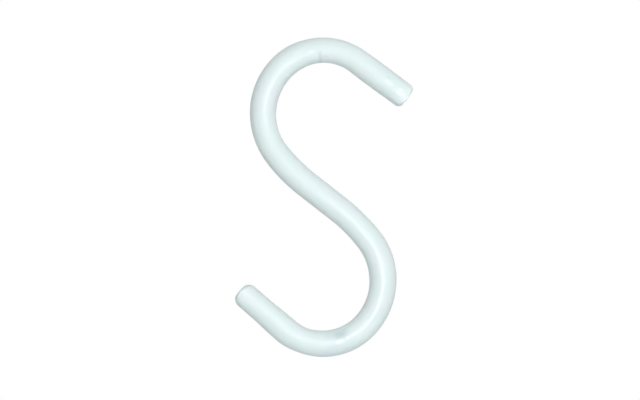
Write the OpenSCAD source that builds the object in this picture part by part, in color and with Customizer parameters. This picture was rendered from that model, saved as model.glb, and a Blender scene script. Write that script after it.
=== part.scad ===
// S hook bent from one length of coated round wire, in millimetres.
//
// The S lies in the XZ plane as it hangs under load: +Z is up, and the upper hook opens towards +X.
// The origin is the point where a rail bears, at the top of the inside of the upper crown. The
// lower crown's bearing point lies below it.
//
// Each end of the wire runs out of the straight shank through three bends that tighten towards the
// tip: the easing, the flank and the crown. Both ends are bent round the same formers. They differ
// in how far the crown is turned and in the length of the straight leg that follows it.

/* [Wire] */
// Diameter of the coated wire
wire_d = 6.3; // [5:0.1:7.5]

/* [Shank] */
// Length of the straight stretch in the middle of the S
shank_straight = 9.5; // [2:0.5:30]
// Inside radius of the gentle bend at each end of the shank
easing_inner_r = 38.9; // [20:0.1:80]
// Angle that each easing turns
easing_turn = 14; // [5:0.5:25]

/* [Both hooks] */
// Inside radius of the flank, the bend that comes round the side of each hook
flank_inner_r = 12.6; // [10:0.1:18]
// Angle that each flank turns
flank_turn = 83; // [70:0.5:95]
// Inside radius of the crown, where the rail or the load bears
crown_inner_r = 10.7; // [8:0.1:15]

/* [Upper hook] */
// Angle that the upper crown turns
upper_crown_turn = 81.5; // [65:0.5:95]
// Slope of the upper leg below the horizontal
upper_leg_slope = 36.5; // [20:0.5:50]
// Length of the upper leg, from the crown to the crest of the end face
upper_leg = 14.8; // [6:0.1:20]
// Radius of the rounded edge round the upper end
upper_edge_r = 1.2; // [0.5:0.1:2.3]
// Radius of the slight dome on the upper end face
upper_dome_r = 14; // [5:0.5:40]

/* [Lower hook] */
// Angle that the lower crown turns
lower_crown_turn = 86; // [65:0.5:95]
// Length of the lower leg, from the crown to the crest of the end face
lower_leg = 14.2; // [6:0.1:20]
// Radius of the rounded edge round the lower end, where the coat drained and gathered
lower_edge_r = 2.1; // [0.5:0.1:2.3]
// Radius of the dome on the lower end face
lower_dome_r = 8; // [5:0.5:40]

/* [Hidden] */
$fn = 96;

wire_r = wire_d / 2;

// Radii of the wire's centreline in the bends
easing_r = easing_inner_r + wire_r;
flank_r = flank_inner_r + wire_r;
crown_r = crown_inner_r + wire_r;

// How far the wire has turned since the shank, where each easing and each flank ends
easing_end = easing_turn;
flank_end = easing_end + flank_turn;

// Heading of the shank, anticlockwise from +X, that gives the upper leg its slope
shank_heading = flank_end + upper_crown_turn - upper_leg_slope;

// Where a leg leaves its crown the coat swells faintly, by `swell_height` over `swell_length` each
// way, and the crown runs on for `crown_lap` inside the swelling
swell_height = 0.03;
swell_length = 0.6;
crown_lap = 0.2;

// Length of the peg inside the wire at each joint between bends
peg_length = 1;

// Points on the rounded edge and on the dome of an end's outline
EDGE_STEPS = 12;
DOME_STEPS = 4;

// One half of the S is drawn flat with the shank along +X from the middle of the S, and turns
// clockwise. This is the vector from a bend's centre to its centreline, `turned` degrees on.
function spoke(radius, turned) = radius * [sin(turned), cos(turned)];

// Centres of the three bends: each lies on the spoke where the wire passes to the next bend
easing_centre = [shank_straight / 2, -easing_r];
flank_centre = easing_centre + spoke(easing_r - flank_r, easing_end);
crown_centre = flank_centre + spoke(flank_r - crown_r, flank_end);

// Moves in two steps, whole hundredths of a millimetre first. Each step then keeps its last digits
// where only six are kept, so that every bend meets the next stretch exactly face to face.
module place(v) {
    whole = [for (x = v) round(x * 100) / 100];
    translate(whole) translate(v - whole) children();
}

// A bend about `centre`, from `start_turn` to `end_turn`. A peg inside the wire crosses the joint
// with the stretch before it, so that the two are held together as well as touching.
module bend(centre, radius, start_turn, end_turn) {
    place(centre) {
        rotate_extrude(start = 90 - end_turn, angle = end_turn - start_turn)
            translate([radius, 0]) circle(wire_r);
        rotate([0, 0, -start_turn])
            translate([0, radius])
                rotate([0, 90, 0]) cylinder(h = peg_length, d = wire_r, center = true);
    }
}

// Half of the leg's outline beside its axis: a faint swelling over the end of the crown, a straight
// wall, a rounded edge and a domed face
module leg_outline(length, edge_r, dome_r) {
    edge_centre_x = wire_r - edge_r;
    dome_to_edge_r = dome_r - edge_r;
    // Direction from the dome's centre in which the dome and the rounded edge are tangent
    dome_half_angle = asin(edge_centre_x / dome_to_edge_r);
    dome_centre_y = length - dome_r;
    edge_centre_y = dome_centre_y + dome_to_edge_r * cos(dome_half_angle);
    edge_angle = 90 - dome_half_angle;
    swelling = [
        [0, -swell_length], [wire_r - swell_height, -swell_length],
        [wire_r + swell_height, swell_length], [wire_r, 2 * swell_length]
    ];
    rounded_edge = [
        for (i = [0:EDGE_STEPS])
            let (a = edge_angle * i / EDGE_STEPS)
            [edge_centre_x + edge_r * cos(a), edge_centre_y + edge_r * sin(a)]
    ];
    domed_face = [
        for (i = [1:DOME_STEPS])
            let (a = dome_half_angle * (1 - i / DOME_STEPS))
            [dome_r * sin(a), dome_centre_y + dome_r * cos(a)]
    ];
    polygon(concat(swelling, rounded_edge, domed_face));
}

// The straight leg with its rounded end, running on from the crown in the wire's own heading
module leg(crown_end, length, edge_r, dome_r) {
    translate(crown_centre + spoke(crown_r, crown_end))
        rotate([0, 0, -crown_end])
            rotate([0, 90, 0])
                rotate_extrude() leg_outline(length, edge_r, dome_r);
}

// One half of the S beyond the straight shank
module hook_end(crown_turn, leg_length, edge_r, dome_r) {
    crown_end = flank_end + crown_turn;
    lap_turn = crown_lap / crown_r * 180 / PI;
    bend(easing_centre, easing_r, 0, easing_end);
    bend(flank_centre, flank_r, easing_end, flank_end);
    bend(crown_centre, crown_r, flank_end, crown_end + lap_turn);
    leg(crown_end, leg_length, edge_r, dome_r);
}

// The straight middle of the S
module shank() {
    rotate([0, 90, 0]) cylinder(h = shank_straight, r = wire_r, center = true);
}

// The whole wire, stood up in the XZ plane with the upper crown's bearing point at the origin
module hook() {
    color("mintcream")
        rotate([90, 0, 0])
            translate([0, -crown_inner_r])
                rotate([0, 0, shank_heading])
                    place(-crown_centre) {
                        shank();
                        hook_end(upper_crown_turn, upper_leg, upper_edge_r, upper_dome_r);
                        rotate([0, 0, 180])
                            hook_end(lower_crown_turn, lower_leg, lower_edge_r, lower_dome_r);
                    }
}

hook();
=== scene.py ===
# %% [markdown]
# # An S hook of coated steel wire
# The real hook is one length of round steel wire, bent cold into an S and dipped in a soft white
# plastic coat. Its size is already fixed by a solid model, so the scene loads that model first and
# builds the look around it. Everything is in metres, with +Z up, and the hook lies in the XZ plane.

# %% Load the solid model
import math

import bpy
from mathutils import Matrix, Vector


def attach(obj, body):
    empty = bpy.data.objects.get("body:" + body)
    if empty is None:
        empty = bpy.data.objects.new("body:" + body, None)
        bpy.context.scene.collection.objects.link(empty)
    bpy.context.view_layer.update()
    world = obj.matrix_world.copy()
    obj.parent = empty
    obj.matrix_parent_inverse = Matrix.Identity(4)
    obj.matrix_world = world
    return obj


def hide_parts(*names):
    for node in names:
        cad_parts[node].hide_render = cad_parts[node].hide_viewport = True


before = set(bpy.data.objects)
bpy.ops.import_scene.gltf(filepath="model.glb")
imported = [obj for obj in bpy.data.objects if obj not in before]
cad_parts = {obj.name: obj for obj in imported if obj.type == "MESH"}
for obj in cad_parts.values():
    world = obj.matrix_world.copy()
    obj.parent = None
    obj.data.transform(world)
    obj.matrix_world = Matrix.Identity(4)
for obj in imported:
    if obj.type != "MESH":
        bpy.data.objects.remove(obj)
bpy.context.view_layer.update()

# %% [markdown]
# ## The sizes of the wire
# A wire bender thinks in straight lengths, bend radii and angles. The hook could be drawn as a
# freehand curve, but then no radius would be true and the solid model would drift away from the
# look. So the scene repeats the bender's sizes, in metres, and winds the path from them.

# %% Sizes
MM = 0.001
wire_r = 6.3 * MM / 2
upper_leg = 14.8 * MM
upper_leg_slope = math.radians(36.5)
upper_edge_r = 1.2 * MM  # rounded edge round the end
upper_dome_r = 14 * MM  # slight dome on the end face
lower_leg = 14.2 * MM
lower_edge_r = 2.1 * MM  # rounder, where the coat drained and gathered
lower_dome_r = 8 * MM
shank_straight = 9.5 * MM
crown_inner_r = 10.7 * MM
flank_inner_r = 12.6 * MM
easing_inner_r = 38.9 * MM
print("wire, mm:", 2 * wire_r / MM)

# %% The stretches of the wire, from the upper tip to the lower one


def bend(name, inner_r, degrees):
    """A stretch of wire bent round a former: its name, the length of its centreline and its turn."""
    turn = math.radians(degrees)
    return name, (inner_r + wire_r) * abs(turn), turn


stretches = [
    ("Upper leg", upper_leg, 0.0),
    bend("Upper crown", crown_inner_r, 81.5),
    bend("Upper flank", flank_inner_r, 83),
    bend("Upper easing", easing_inner_r, 14),
    ("Shank", shank_straight, 0.0),
    bend("Lower easing", easing_inner_r, -14),
    bend("Lower flank", flank_inner_r, -83),
    bend("Lower crown", crown_inner_r, -86),
    ("Lower leg", lower_leg, 0.0),
]
print("wire length, mm:", round(sum(length for _, length, _ in stretches) / MM, 2))

# %% [markdown]
# ## Where the wire starts
# The wire is followed from the tip of the upper hook to the tip of the lower one. The rail bears
# at the origin, so the upper crown's centre lies one inside radius below it, and the upper leg runs
# out of that crown at its slope. The tip's place and the first heading are worked out from that,
# and not typed in, so they stay true when a size changes.

# %% Place of the upper tip
leg_out = Vector((math.cos(upper_leg_slope), 0, -math.sin(upper_leg_slope)))
leg_normal = Vector((math.sin(upper_leg_slope), 0, math.cos(upper_leg_slope)))
crown_centre = Vector((0, 0, -crown_inner_r))
upper_tip = crown_centre + (crown_inner_r + wire_r) * leg_normal + upper_leg * leg_out
first_heading = math.pi - upper_leg_slope
print("upper tip, mm:", [round(x / MM, 2) for x in upper_tip])

# %% [markdown]
# ## Writing node trees as arithmetic
# Both the shape and the finish are node trees. Sums are easier to read as Python than as a list of
# links, so a small class wraps one output socket and turns each operator into a Math node. Every
# other node comes from one function, which takes the node's type, its settings and its sockets.

# %% A socket that can be reckoned with


class Signal:
    """One output socket of a node tree. Arithmetic on it adds Math nodes to that tree."""

    def __init__(self, tree, socket):
        self.tree = tree
        self.socket = socket

    def math(self, operation, *others):
        return node(self.tree, "ShaderNodeMath", {"operation": operation}, [self, *others])[0]

    def reflected(self, operation, first):
        return node(self.tree, "ShaderNodeMath", {"operation": operation}, [first, self])[0]

    def __add__(self, other):
        return self.math("ADD", other)

    def __sub__(self, other):
        return self.math("SUBTRACT", other)

    def __mul__(self, other):
        return self.math("MULTIPLY", other)

    def __truediv__(self, other):
        return self.math("DIVIDE", other)

    def __rsub__(self, other):
        return self.reflected("SUBTRACT", other)

    def __rtruediv__(self, other):
        return self.reflected("DIVIDE", other)

    def __neg__(self):
        return self * -1.0

    __radd__ = __add__
    __rmul__ = __mul__


class Outputs(list):
    """The outputs of one node as Signals, found by place or by name."""

    def __getitem__(self, key):
        if isinstance(key, int):
            return super().__getitem__(key)
        return next(signal for signal in self if signal.socket.name == key)


# %% One function for every kind of node


def node(tree, kind, settings=None, sockets=None):
    """Adds a node and returns its enabled outputs. `sockets` is a list in the order of its enabled
    inputs, or a dict by their names, and holds numbers, colours or Signals."""
    made = tree.nodes.new(kind)
    for name, value in (settings or {}).items():
        setattr(made, name, value)
    named = sockets.items() if isinstance(sockets, dict) else enumerate(sockets or [])
    inputs = [socket for socket in made.inputs if socket.enabled]
    for key, value in named:
        target = inputs[key] if isinstance(key, int) else next(s for s in inputs if s.name == key)
        if isinstance(value, Signal):
            tree.links.new(value.socket, target)
        else:
            target.default_value = value
    return Outputs(Signal(tree, socket) for socket in made.outputs if socket.enabled)


def vector_math(operation, *values):
    tree = next(value.tree for value in values if isinstance(value, Signal))
    return node(tree, "ShaderNodeVectorMath", {"operation": operation}, values)[0]


def share(value, start, length):
    """How much of a stretch that begins at `start` lies before `value`, from 0 to 1."""
    part = (value - start) / length
    return node(part.tree, "ShaderNodeClamp", sockets=[part, 0.0, 1.0])[0]


# %% [markdown]
# ## The rings of the wire
# The wire is a stack of rings along its path. On the wall the rings are evenly spaced. At each end
# they follow the outline of the end face: a very flat dome, then a rounded edge that meets the wall.
# A cutter's jaws close from two sides, so on the front and the back the dome is flatter and the edge
# sharper. One function gives each ring's place along the wire and its radius. It has no branches,
# because every share of the outline is a number held between 0 and 1.

# %% Ring numbers
DOME_RINGS = 6
EDGE_RINGS = 12
WALL_RINGS = 600
SIDES = 96
LAST_RING = 2 * (DOME_RINGS + EDGE_RINGS) + WALL_RINGS
JUST_PAST = 1e-5  # radians, so that the dome's last ring still counts as dome
print("rings:", LAST_RING + 1, "with", SIDES, "points each")

# %% The outline of the two ends


def end_outline(ring, front, size, end):
    """Depth below the crest of an end, and radius, of a ring counted from that end. `front` is 1 on
    the front of the wire, 0 on its sides and -1 on its back."""
    edge_r = size[f"{end} Edge Radius"] * (1 - front * front * size[f"{end} Pinch"])
    dome_r = size[f"{end} Dome Radius"] * (1 + front * front * size["Flatness"])
    edge_centre_r = size["Wire Radius"] - edge_r
    dome_angle = (edge_centre_r / (dome_r - edge_r)).math("ARCSINE")
    depth_of_end = dome_r - (dome_r - edge_r) * dome_angle.math("COSINE")
    on_dome = share(ring, 0.0, DOME_RINGS)
    on_edge = share(ring, DOME_RINGS, EDGE_RINGS)
    angle = dome_angle * on_dome + (math.pi / 2 - dome_angle) * on_edge
    is_edge = angle.math("GREATER_THAN", dome_angle + JUST_PAST)
    dome_depth = dome_r * (1 - angle.math("COSINE"))
    edge_depth = depth_of_end - edge_r * angle.math("COSINE")
    depth = dome_depth + (edge_depth - dome_depth) * is_edge
    on_dome_r = dome_r * angle.math("SINE")
    on_edge_r = edge_centre_r + edge_r * angle.math("SINE")
    radius = on_dome_r + (on_edge_r - on_dome_r) * is_edge
    return depth, radius, depth_of_end


def ring_place(ring, front, length, size):
    """Distance of a ring from the upper tip along the wire, and its radius."""
    depth, radius, depth_of_end = end_outline(ring, front, size, "Upper")
    far_depth, far_radius, far_depth_of_end = end_outline(LAST_RING - ring, front, size, "Lower")
    on_wall = share(ring, DOME_RINGS + EDGE_RINGS, WALL_RINGS)
    wall_length = length - depth_of_end - far_depth_of_end
    along = depth + wall_length * on_wall + far_depth_of_end - far_depth
    return along, radius * far_radius / size["Wire Radius"]


# %% [markdown]
# ## Thick and thin places
# A dipped coat isn't even. It drains from the tips and thins where the wire was pressed round the
# upper crown, and it gathers on the shank and the flanks. Noise alone would put such places just
# anywhere, and a sculpted mesh couldn't be rewound. So a curve over the length of the wire holds
# them, as a few shares of the wire's radius. Faint lumps come on top, and a few dents and rises
# with a place and a height each. They are what makes the long highlight waver.

# %% The coat's thickness along the wire
# Share of the wire's length, and what the coat adds there, as a share of the wire's radius
coat_thickness = [
    (0.00, -0.040),
    (0.035, -0.018),
    (0.07, -0.003),
    (0.12, -0.045),
    (0.17, -0.045),
    (0.235, 0.014),
    (0.30, 0.010),
    (0.36, -0.018),
    (0.41, 0.013),
    (0.50, 0.022),
    (0.54, 0.010),
    (0.64, 0.035),
    (0.70, 0.013),
    (0.77, 0.002),
    (0.83, 0.000),
    (0.866, -0.028),
    (0.90, 0.018),
    (0.93, -0.008),
    (0.965, -0.045),
    (1.00, -0.040),
]
THICKNESS_SPAN = 0.1  # what the full height of the curve stands for


def coat_curve(share_of_length):
    """The coat's thick and thin places as a share of the wire's radius, from a smooth curve."""
    tree = share_of_length.tree
    made = tree.nodes.new("ShaderNodeFloatCurve")
    points = made.mapping.curves[0].points
    places = [(x, 0.5 + y / THICKNESS_SPAN) for x, y in coat_thickness]
    points[0].location = places[0]
    points[1].location = places[-1]
    for place in places[1:-1]:
        points.new(*place)
    made.mapping.update()
    tree.links.new(share_of_length.socket, made.inputs["Value"])
    return (Signal(tree, made.outputs["Value"]) - 0.5) * THICKNESS_SPAN


heights = [y for _, y in coat_thickness]
print("coat thickness, % of the radius:", 100 * min(heights), "to", 100 * max(heights))

# %% Dents and rises
# Name, place along the wire in mm, place across its front (-1 to 1), half length, half width, height
dents = [
    ("flat by the upper tip", 1.6, 0.28, 2.6, 1.9, -0.070),
    ("rise under that flat", 1.8, 0.80, 2.4, 1.2, 0.030),
    ("dent with the speck", 6.4, -0.28, 1.1, 0.9, -0.025),
    ("dent before the crease", 22.6, 0.45, 1.9, 2.2, -0.030),
    ("rise after the crease", 27.0, 0.28, 1.5, 1.3, 0.030),
    ("flat on the upper crown", 34.5, 0.20, 4.0, 1.6, -0.030),
    ("dent on the lower crown", 116.1, -0.54, 2.4, 1.3, -0.060),
    ("rise beside that dent", 113.6, -0.05, 1.8, 1.4, 0.030),
    ("rise below that dent", 117.2, 0.02, 1.8, 1.3, 0.025),
    ("flat by the lower tip", 142.6, 0.02, 2.0, 1.5, -0.030),
]


def mark_strength(at, spot):
    """1 at a marked spot of the surface, falling smoothly to 0 at its rim. `at` holds the distance
    along the wire, the frontness and the sidewardness of a point. `spot` holds the mark's place
    along and across the wire, its half length and its half width, in mm."""
    along, front, side = at
    place, across, half_length, half_width = spot
    mark_front = math.sqrt(1 - across**2)
    far_along = (along - place * MM) / (half_length * MM)
    turn = 1 - (front * mark_front + side * across)
    far_round = turn * (2 * (wire_r / (half_width * MM)) ** 2)
    near = (1 - far_along * far_along - far_round).math("MAXIMUM", 0.0)
    return near * near


print("dents and rises:", len(dents))

# %% [markdown]
# ## The path of the wire
# The wire turns steadily through each bend and not at all between them. So its heading at any ring
# is the first heading plus a share of every bend, and its place is the sum of all the short steps
# before it, which is just what the Accumulate Field node gives. A Bezier curve would be quicker to
# draw, but its handles only come near to a round bend. All sizes are named inputs of the tree, so
# the hook can be rewound from the modifier's panel.

# %% The inputs of the winding tree
winding_inputs = {
    "Wire Radius": wire_r,
    "First Heading": first_heading,
    "Upper Tip": tuple(upper_tip),
    "Upper Edge Radius": upper_edge_r,
    "Upper Dome Radius": upper_dome_r,
    "Upper Pinch": 0.85,  # share of its radius that an edge loses on the front and the back
    "Lower Edge Radius": lower_edge_r,
    "Lower Dome Radius": lower_dome_r,
    "Lower Pinch": 0.72,
    "Flatness": 4.0,  # what a dome's radius gains there, as a multiple of itself
    "Lump Height": 0.04 * MM,
    "Lump Size": 7.0 * MM,
    "Lump Seed": 4.0,
}
for name, length, turn in stretches:
    winding_inputs[f"{name} Length"] = length
    winding_inputs[f"{name} Turn"] = turn
print("inputs:", len(winding_inputs))

# %% Following the path


def stretch_starts(size):
    """Where each stretch of the wire starts, and the length of the whole wire."""
    starts = {}
    start = 0.0
    for name, _, _ in stretches:
        starts[name] = start
        start = start + size[f"{name} Length"]
    return starts, start


def heading_at(along, starts, size):
    """The wire's heading: the first one and what has been turned of every bend."""
    heading = size["First Heading"]
    for name, _, turn in stretches:
        if turn:
            turned = share(along, starts[name], size[f"{name} Length"])
            heading = heading + size[f"{name} Turn"] * turned
    return heading


def direction(angle, length):
    """A vector of that heading and length in the plane of the hook."""
    x = angle.math("COSINE") * length
    z = angle.math("SINE") * length
    return node(angle.tree, "ShaderNodeCombineXYZ", sockets=[x, 0.0, z])[0]


def walked_so_far(step, side_number):
    """The sum of the steps before each ring, reckoned for every line of points by itself."""
    settings = {"data_type": "FLOAT_VECTOR", "domain": "POINT"}
    sockets = {"Value": step, "Group ID": side_number}
    return node(step.tree, "GeometryNodeAccumulateField", settings, sockets)["Trailing"]


# %% [markdown]
# ## The skin round the path
# A grid is wrapped round that path: its columns are the rings, and its rows run along the wire.
# Each point goes out from the centre of its ring by the wire's radius, changed by the coat. The
# grid's seam and its two poles are then merged, and the outcome is one closed skin. Curve to Mesh
# would give a tube too, but not these ends, and it would not know each point's place on the wire.
# That place is kept as an attribute, so that the finish can put a mark just there.

# %% The height of the coat
LUMP_DETAIL = 1.5


def coat_height(at, smooth_point, size):
    """How far the lumps, the dents and the rises lift the skin."""
    settings = {"noise_dimensions": "4D"}
    sockets = {
        "Vector": smooth_point,
        "W": size["Lump Seed"],
        "Scale": 1 / size["Lump Size"],
        "Detail": LUMP_DETAIL,
    }
    lump = node(smooth_point.tree, "ShaderNodeTexNoise", settings, sockets)[0]
    height = (lump - 0.5) * 2 * size["Lump Height"]
    for _, *spot, rise in dents:
        height = height + mark_strength(at, spot) * (rise * MM)
    return height


# %% The wrapped and merged grid
MERGE_DISTANCE = 6e-6  # less than any gap between neighbours, more than rounding leaves at the seam


def closed_skin(tree, at, point, material):
    """A grid with a row for each side and a column for each ring, set to `point` and merged."""
    columns, rows = LAST_RING + 1, SIDES + 1
    skin = node(
        tree,
        "GeometryNodeMeshGrid",
        sockets={"Size X": 1.0, "Size Y": 1.0, "Vertices X": columns, "Vertices Y": rows},
    )["Mesh"]
    place = node(tree, "ShaderNodeCombineXYZ", sockets=at)[0]
    attribute = {"data_type": "FLOAT_VECTOR", "domain": "POINT"}
    steps = [
        ("GeometryNodeStoreNamedAttribute", attribute, {"Name": "wire_place", "Value": place}),
        ("GeometryNodeSetPosition", {}, {"Position": point}),
        ("GeometryNodeMergeByDistance", {}, {"Distance": MERGE_DISTANCE}),
        ("GeometryNodeSetShadeSmooth", {}, {"Shade Smooth": True}),
        ("GeometryNodeRealizeInstances", {}, {}),
        ("GeometryNodeSetMaterial", {}, {"Material": material}),
    ]
    for kind, settings, sockets in steps:
        skin = node(tree, kind, settings, {"Geometry": skin, **sockets})[0]
    return skin


# %% The winding tree


def build_winding_tree(material):
    tree = bpy.data.node_groups.new("Wind the wire", "GeometryNodeTree")
    tree.interface.new_socket("Geometry", in_out="OUTPUT", socket_type="NodeSocketGeometry")
    for name, value in winding_inputs.items():
        kind = "NodeSocketVector" if isinstance(value, tuple) else "NodeSocketFloat"
        tree.interface.new_socket(name, in_out="INPUT", socket_type=kind)
    size = node(tree, "NodeGroupInput")

    # Ring and side of each point of the grid
    index = node(tree, "GeometryNodeInputIndex")[0]
    ring = ((index + 0.5) / (SIDES + 1)).math("FLOOR")
    side_number = (index - ring * (SIDES + 1)).math("ROUND")
    round_angle = side_number * (2 * math.pi / SIDES)
    front = round_angle.math("COSINE")
    side = round_angle.math("SINE")

    # The path: each step goes at the heading of its own middle
    starts, length = stretch_starts(size)
    along, radius = ring_place(ring, front, length, size)
    next_along, _ = ring_place(ring + 1, front, length, size)
    step = direction(heading_at((along + next_along) * 0.5, starts, size), next_along - along)
    centre = vector_math("ADD", size["Upper Tip"], walked_so_far(step, side_number))

    # The direction from the centre of a ring out to its point: its front faces -Y
    inward = direction(heading_at(along, starts, size) + math.pi / 2, side)
    forward = node(tree, "ShaderNodeCombineXYZ", sockets=[0.0, -front, 0.0])[0]
    spoke = vector_math("ADD", inward, forward)

    # The wire's radius with its coat
    at = [along, front, side]
    smooth_point = vector_math("MULTIPLY_ADD", spoke, (wire_r,) * 3, centre)
    height = coat_height(at, smooth_point, size)
    full_radius = radius * (1 + coat_curve(along / length) + height / size["Wire Radius"])
    point = vector_math("ADD", centre, vector_math("SCALE", spoke, full_radius))
    node(tree, "NodeGroupOutput", sockets=[closed_skin(tree, at, point, material)])
    return tree


# %% [markdown]
# ## The colour of the coat
# The coat is a soft white plastic with a breath of mint in it, and its colour drifts a little
# towards mint and towards lilac. One flat colour would look like paint on a screen, so slow noise
# mixes the three. The marks of making and use come next: a crease across the inside of the upper
# crown where the former's edge bit, darkened with painted shade, a grey smudge with a bluish rim in
# the lower crown, a darker band along the inside edge of that crown, and a green speck near the
# upper tip. Painted light comes on top: the lower hook and the end of the upper tip are painted
# paler, as if more light fell there, and pale spots are painted highlights and glints. All of them
# are tied to their place on the wire, so they stay there when the hook is turned.

# %% The coat's colours, marks and painted light
coat_white = (0.790, 0.905, 0.906, 1)
coat_mint = (0.756, 0.910, 0.888, 1)
coat_lilac = (0.812, 0.884, 0.922, 1)
# painted light: the paler colour that stands in for more light on the lower hook and the upper tip's end
painted_light_pale = (0.840, 0.955, 0.955, 1)
coat_blue = (0.760, 0.880, 0.930, 1)
# painted highlight: the near-white of the painted glints and highlights below
painted_highlight_white = (0.875, 0.965, 0.985, 1)
smudge_grey = (0.560, 0.680, 0.720, 1)
# painted shade: the grey that darkens the crease where shade falls in its groove
painted_crease_shade = (0.480, 0.600, 0.600, 1)
speck_green = (0.620, 0.780, 0.740, 1)

# Place along the wire in mm, place across its front (-1 to 1), half length, half width
marks = {
    "smudge": (115.9, -0.54, 3.0, 1.8),
    "tail of the smudge": (117.6, -0.60, 4.6, 1.9),
    "blue beside the smudge": (117.8, 0.40, 6.0, 4.0),
    "speck": (6.7, -0.35, 0.7, 0.6),
    "foot of the crease": (23.0, 0.56, 1.7, 0.5),
}
# Painted highlights and glints: pale spots where the sheen and the glints fall
painted_highlights = {
    "painted highlight by the upper tip": (2.3, 0.00, 1.7, 1.5),
    "painted highlight on the rim of the upper tip": (0.7, 0.28, 1.6, 1.4),
    "painted highlight on the upper leg": (5.8, -0.04, 1.9, 1.0),
    "painted glint after the crease": (26.6, 0.09, 1.4, 0.6),
    "first painted glint on the lower crown": (112.9, -0.08, 1.6, 0.6),
    "second painted glint on the lower crown": (114.8, -0.10, 0.9, 0.6),
    "painted highlight on the lower crown": (116.8, -0.03, 1.9, 0.9),
}
CREASE_PLACE = 24.5 * MM
CREASE_HALF_WIDTH = 0.75 * MM
print("marks and pools:", len(marks) + len(painted_highlights))

# %% Noise, ramps and mixes


def noise(position, size_mm, seed, detail=2.0):
    """Smooth noise round 0.5, with features of about that size."""
    sockets = {"Vector": position, "W": seed, "Scale": 1 / (size_mm * MM), "Detail": detail}
    return node(position.tree, "ShaderNodeTexNoise", {"noise_dimensions": "4D"}, sockets)[0]


def ramp(value, low, high):
    """0 below `low`, 1 above `high`, and smooth between them."""
    settings = {"interpolation_type": "SMOOTHSTEP"}
    return node(value.tree, "ShaderNodeMapRange", settings, [value, low, high])[0]


def ramp_mm(along, low, high):
    return ramp(along, low * MM, high * MM)


def mix_colour(factor, first, second):
    sockets = {"Factor": factor, "A": first, "B": second}
    return node(factor.tree, "ShaderNodeMix", {"data_type": "RGBA"}, sockets)["Result"]


# %% Where the smudge, the crease and the painted highlights lie


def smudge_strength(position, at):
    """A dark smudge and a fainter darker band along the inside edge of the lower crown, broken up by
    fine noise.
    """
    smudge = mark_strength(at, marks["smudge"])
    smudge = smudge + mark_strength(at, marks["tail of the smudge"]) * 0.45
    return smudge * ramp(noise(position, 1.2, seed=3.0), 0.10, 0.50)


def crease_strength(at):
    """A line across the inside of the wire, and a fainter spot at its foot."""
    along, _, side = at
    from_line = ((along - CREASE_PLACE) / CREASE_HALF_WIDTH).math("ABSOLUTE")
    line = (1 - from_line.math("MINIMUM", 1.0)) * ramp(side, 0.08, 0.30)
    return line.math("MAXIMUM", mark_strength(at, marks["foot of the crease"]) * 0.7)


def painted_highlight_strength(position, at):
    """1 in the painted highlights and glints, with a scalloped rim."""
    deepest = 0.0
    for spot in painted_highlights.values():
        deepest = mark_strength(at, spot).math("MAXIMUM", deepest)
    scallops = (noise(position, 1.1, seed=7.0) - 0.5) * 0.3
    return ramp(deepest + scallops, 0.28, 0.42)


# %% The colour, from the slow drift up to the pools


def coat_colour(position, at, smudge, crease):
    along = at[0]
    mint = ramp(noise(position, 9, seed=21.0), 0.42, 0.68)
    lilac = ramp(noise(position, 6, seed=22.0), 0.50, 0.74)
    # Painted light: the lower hook and the end of the upper tip are made paler, as if more light fell
    # there
    lower_hook = ramp_mm(along, 85, 130)
    upper_tip_end = 1 - ramp_mm(along, 1, 5)
    pale = (lower_hook * 0.35).math("MAXIMUM", upper_tip_end * 0.5)
    layers = [
        (mint, coat_mint),
        (lilac * 0.8, coat_lilac),
        (pale, painted_light_pale),
        (mark_strength(at, marks["blue beside the smudge"]) * 0.8, coat_blue),
        (smudge * 0.6, smudge_grey),
        (mark_strength(at, marks["speck"]) * 0.5, speck_green),
        # painted shade in the crease
        (crease * 0.4, painted_crease_shade),
        # painted highlights and glints
        (painted_highlight_strength(position, at) * 0.8, painted_highlight_white),
    ]
    colour = coat_white
    for strength, layer in layers:
        colour = mix_colour(strength, colour, layer)
    return colour


# %% [markdown]
# ## The gloss of the coat
# The plastic is nearly matt. Only the two flanks, which nothing rubs, keep some gloss on top, and
# only in patches. A lower roughness there would sharpen the whole sheen, so the gloss is a thin
# clear coat whose weight varies along the wire: where it is kept, it adds a narrow streak to the
# broad one. Fine bump gives the skin the slight unevenness of dipped plastic.

# %% Gloss and fine bump
GLOSS_EVERYWHERE = 0.05
COAT_ROUGHNESS = 0.20
PLASTIC_IOR = 1.5
BUMP_DISTANCE = 0.07 * MM


def gloss_weight(position, along):
    """The weight of the clear coat: patches on the two flanks, and hardly any elsewhere."""
    upper_flank = ramp_mm(along, 27, 35) * (1 - ramp_mm(along, 50, 58)) * 1.6
    lower_flank = ramp_mm(along, 72, 88) * (1 - ramp_mm(along, 118, 128))
    patches = ramp(noise(position, 2.0, seed=9.0), 0.40, 0.60)
    return GLOSS_EVERYWHERE + (upper_flank + lower_flank) * (0.07 + patches * 0.09)


def skin_bump(position, crease):
    """The normal of a skin with fine unevenness, and with the crease pressed in."""
    fine = noise(position, 0.8, seed=5.0, detail=1.0) * 0.25
    coarse = noise(position, 2.6, seed=6.0, detail=0.5)
    height = fine + coarse - crease * 0.6
    sockets = {"Strength": 1.0, "Distance": BUMP_DISTANCE, "Height": height}
    return node(position.tree, "ShaderNodeBump", sockets=sockets)[0]


# %% The coat's material


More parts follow.
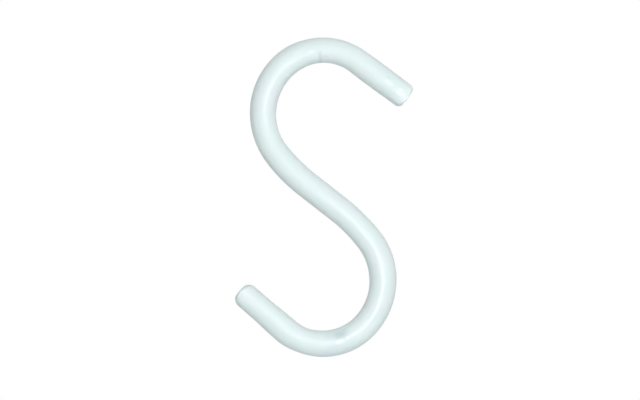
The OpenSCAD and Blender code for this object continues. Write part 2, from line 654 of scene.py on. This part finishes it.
def build_coat():
    material = bpy.data.materials.new("Soft white plastic coat")
    material.use_nodes = True
    tree = material.node_tree
    tree.nodes.clear()
    place = node(tree, "ShaderNodeAttribute", {"attribute_name": "wire_place"})["Vector"]
    at = node(tree, "ShaderNodeSeparateXYZ", sockets=[place])
    position = node(tree, "ShaderNodeTexCoord")["Object"]
    smudge = smudge_strength(position, at)
    crease = crease_strength(at)
    shader = node(
        tree,
        "ShaderNodeBsdfPrincipled",
        sockets={
            "Base Color": coat_colour(position, at, smudge, crease),
            "Roughness": 0.70 + (noise(position, 3, seed=4.0) - 0.5) * 0.12 + smudge * 0.1,
            "IOR": PLASTIC_IOR,
            "Normal": skin_bump(position, crease),
            "Coat Weight": gloss_weight(position, at[0]),
            "Coat Roughness": COAT_ROUGHNESS,
            "Coat IOR": PLASTIC_IOR,
        },
    )[0]
    node(tree, "ShaderNodeOutputMaterial", sockets={"Surface": shader})
    return material


coat = build_coat()
print("coat nodes:", len(coat.node_tree.nodes))

# %% [markdown]
# ## Making the hook
# The tree could stay live in a modifier, but only a plain mesh can be exported and can stand for a
# solid part. So the tree runs once, in a modifier on an empty mesh. Each input is set by its
# identifier, and the evaluated result is kept in place of the solid model's `hook`.

# %% The hook


def wind_hook():
    tree = build_winding_tree(coat)
    host = bpy.data.objects.new("winding", bpy.data.meshes.new("winding"))
    bpy.context.scene.collection.objects.link(host)
    modifier = host.modifiers.new("Wind the wire", "NODES")
    modifier.node_group = tree
    for item in tree.interface.items_tree:
        if item.item_type == "SOCKET" and item.in_out == "INPUT":
            modifier[item.identifier] = winding_inputs[item.name]
    evaluated = host.evaluated_get(bpy.context.evaluated_depsgraph_get())
    mesh = bpy.data.meshes.new_from_object(evaluated)
    bpy.data.objects.remove(host)
    mesh.name = "coated_wire_hook"
    mesh.materials.clear()
    mesh.materials.append(coat)
    hook = bpy.data.objects.new("coated_wire_hook", mesh)
    bpy.context.scene.collection.objects.link(hook)
    return hook


hook = wind_hook()
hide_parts("hook")
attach(hook, "root")
print("hook:", len(hook.data.vertices), "points,", len(hook.data.polygons), "faces")

# %% [markdown]
# ## Camera
# The camera looks straight at the plane of the S. A short lens from nearby would make the middle
# of the hook look thicker than its ends, so it is a long lens from further off. Its distance
# follows from the size that one pixel of a 640 pixel wide render has at the hook.

# %% Camera
IMAGE_WIDTH_PX = 640
PIXEL = 0.23887 * MM  # size of a pixel at the hook
view_centre = Vector((-0.80, 0, -32.63)) * MM

camera_data = bpy.data.cameras.new("camera")
camera_data.lens = 100
camera_data.sensor_width = 36
camera_distance = IMAGE_WIDTH_PX * PIXEL * camera_data.lens / camera_data.sensor_width
camera = bpy.data.objects.new("camera", camera_data)
camera.location = view_centre + Vector((0, -camera_distance, 0))
camera.rotation_euler = (math.pi / 2, 0, 0)
bpy.context.scene.collection.objects.link(camera)
bpy.context.scene.camera = camera
print("camera distance, mm:", round(camera_distance / MM, 1))

# %% [markdown]
# ## Light
# One big soft panel stands in front of the hook, a little to the right and above, and does most of
# the work. A larger, weaker one stands behind it on the right and lifts the upper rims. A small
# strip close in front is seen only in the gloss of the coat, where it draws the thin streak down
# each flank. A plain pale surrounding does the rest. The surrounding shows as white, but it lights
# the hook only weakly, so that the white background doesn't wash the coat out.

# %% Lamps


def soft_panel(name, location, width, height, watts, sheen_only=False):
    """A rectangular soft lamp that faces the middle of the hook and doesn't show itself. With
    `sheen_only` it is seen in the gloss of the coat but doesn't light the coat's colour."""
    data = bpy.data.lights.new(name, "AREA")
    data.shape = "RECTANGLE"
    data.size = width
    data.size_y = height
    data.energy = watts
    lamp = bpy.data.objects.new(name, data)
    lamp.location = location
    lamp.rotation_mode = "QUATERNION"
    lamp.rotation_quaternion = (view_centre - Vector(location)).to_track_quat("-Z", "Y")
    lamp.visible_camera = False
    lamp.visible_diffuse = not sheen_only
    bpy.context.scene.collection.objects.link(lamp)
    print(name, "at", location)


soft_panel("front panel", (0.085, -0.574, 0.123), 0.5, 0.5, 2.33)
soft_panel("back panel", (0.465, 0.169, 0.463), 1.0, 1.0, 0.61)
soft_panel("near strip", (0.013, -0.105, -0.043), 0.03, 0.06, 0.115, sheen_only=True)

# %% Surrounding
WHITE = (1, 1, 1, 1)
AMBIENT_STRENGTH = 0.343


def seen_directly(tree):
    """1 for the rays that show a background as it is: from the camera, off gloss, through glass."""
    rays = node(tree, "ShaderNodeLightPath")
    seen = rays["Is Camera Ray"].math("MAXIMUM", rays["Is Glossy Ray"])
    return seen.math("MAXIMUM", rays["Is Transmission Ray"])


world = bpy.data.worlds.new("surrounding")
bpy.context.scene.world = world
world.use_nodes = True
sky = world.node_tree
sky.nodes.clear()
ambient = node(sky, "ShaderNodeBackground", sockets=[WHITE, AMBIENT_STRENGTH])[0]
backdrop = node(sky, "ShaderNodeBackground", sockets=[WHITE, 1.0])[0]
surrounding = node(sky, "ShaderNodeMixShader", sockets=[seen_directly(sky), ambient, backdrop])[0]
node(sky, "ShaderNodeOutputWorld", sockets={"Surface": surrounding})
print("ambient strength:", AMBIENT_STRENGTH)

# %% [markdown]
# ## Floor
# The floor lies well below the hanging hook, out of the front view. It is plain and nearly white
# and takes the hook's soft shadow. A faint glow, which only the camera, gloss and glass see, brings
# it up to white wherever no shadow falls.

# %% Floor
FLOOR_BELOW = 0.25
FLOOR_SIZE = 1.2
FLOOR_GLOW = 0.5

floor_data = bpy.data.meshes.new("floor")
half = FLOOR_SIZE / 2
corners = [(x, y, -FLOOR_BELOW) for x, y in ((-half, -half), (half, -half), (half, half), (-half, half))]
floor_data.from_pydata(corners, [], [(0, 1, 2, 3)])
floor = bpy.data.objects.new("floor", floor_data)
bpy.context.scene.collection.objects.link(floor)

floor_paint = bpy.data.materials.new("Pale floor")
floor_paint.use_nodes = True
paint = floor_paint.node_tree
paint.nodes.clear()
matt = node(paint, "ShaderNodeBsdfDiffuse", sockets={"Color": (0.9, 0.9, 0.9, 1)})[0]
glow_strength = seen_directly(paint) * FLOOR_GLOW
glow = node(paint, "ShaderNodeEmission", sockets={"Color": WHITE, "Strength": glow_strength})[0]
floor_surface = node(paint, "ShaderNodeAddShader", sockets=[matt, glow])[0]
node(paint, "ShaderNodeOutputMaterial", sockets={"Surface": floor_surface})
floor_data.materials.append(floor_paint)
print("floor at z, mm:", -FLOOR_BELOW / MM)

# %% [markdown]
# ## Last steps
# Colours are shown as they are, without a film look.

# %% Finish
bpy.context.scene.view_settings.view_transform = "Standard"
